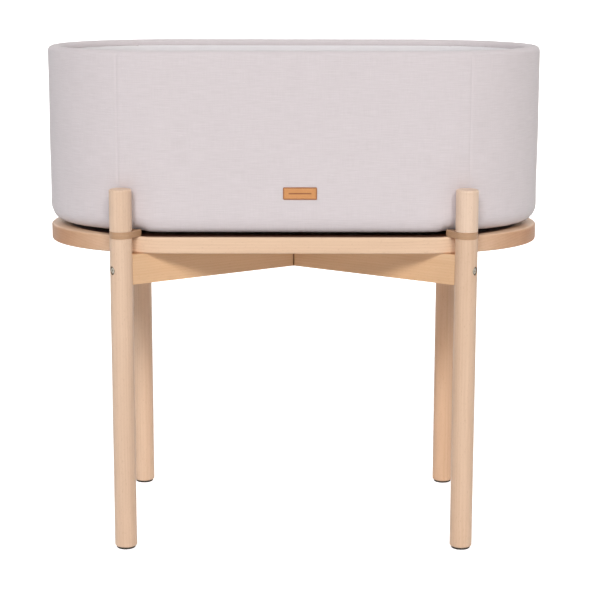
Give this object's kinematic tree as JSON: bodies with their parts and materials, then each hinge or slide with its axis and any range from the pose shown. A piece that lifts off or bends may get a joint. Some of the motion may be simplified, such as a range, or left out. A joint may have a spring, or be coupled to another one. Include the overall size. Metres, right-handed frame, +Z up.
{
  "type": "bassinet on stand",
  "caption": "Oval cloth-covered bassinet basket that lifts off a wooden stand with round legs, upright pegs, an oval deck and crossed rails.",
  "frame": {"origin": "on the floor, midway between the four legs", "axes": "+X along the basket's length, +Y from the tagged front to the back, +Z up"},
  "size_m": [0.904, 0.452, 0.898],
  "materials": {
    "beech_wood": "clear satin lacquer on light beech",
    "dowel_wood": "bare fluted beech",
    "plywood": "bare birch plywood",
    "dark_felt_rubber": "matt dark glide pad",
    "zinc_steel": "dull zinc plate",
    "linen_cloth": "plain-weave linen blend with slubs, warm light grey",
    "lining_cloth": "fine off-white cotton",
    "mattress_cloth": "white quilted cotton",
    "foam": "open-cell upholstery foam",
    "tan_leather": "smooth tan leather, stitched edge"
  },
  "bodies": {
    "stand": {"leg_front_left": "beech_wood", "peg_front_left": "beech_wood", "bearer_front_left": "beech_wood", "foot_pad_front_left": "dark_felt_rubber", "leg_front_right": "beech_wood", "peg_front_right": "beech_wood", "bearer_front_right": "beech_wood", "foot_pad_front_right": "dark_felt_rubber", "leg_back_left": "beech_wood", "peg_back_left": "beech_wood", "bearer_back_left": "beech_wood", "foot_pad_back_left": "dark_felt_rubber", "leg_back_right": "beech_wood", "peg_back_right": "beech_wood", "bearer_back_right": "beech_wood", "foot_pad_back_right": "dark_felt_rubber", "rail_rising": "beech_wood", "rail_falling": "beech_wood", "deck": "beech_wood", "frame_bolts": "zinc_steel", "barrel_nuts": "zinc_steel", "alignment_dowels": "dowel_wood", "peg_studs": "zinc_steel", "bearer_pins": "zinc_steel", "deck_screws": "zinc_steel"},
    "basket": {"outer_cover": "linen_cloth", "lining": "lining_cloth", "wall_padding": "foam", "base_padding": "foam", "inner_padding": "foam", "wall_shell": "plywood", "base_board": "plywood", "shell_screws": "zinc_steel", "leather_tag": "tan_leather"},
    "mattress": {"mattress_core": "foam", "mattress_cover": "mattress_cloth"}
  },
  "joints": [
    {"name": "basket_lift", "type": "slide", "parent": "stand", "child": "basket", "axis": [0, 0, 1], "range_m": [0, 0.15]},
    {"name": "mattress_lift", "type": "slide", "parent": "basket", "child": "mattress", "axis": [0, 0, 1], "range_m": [0, 0.3]}
  ]
}
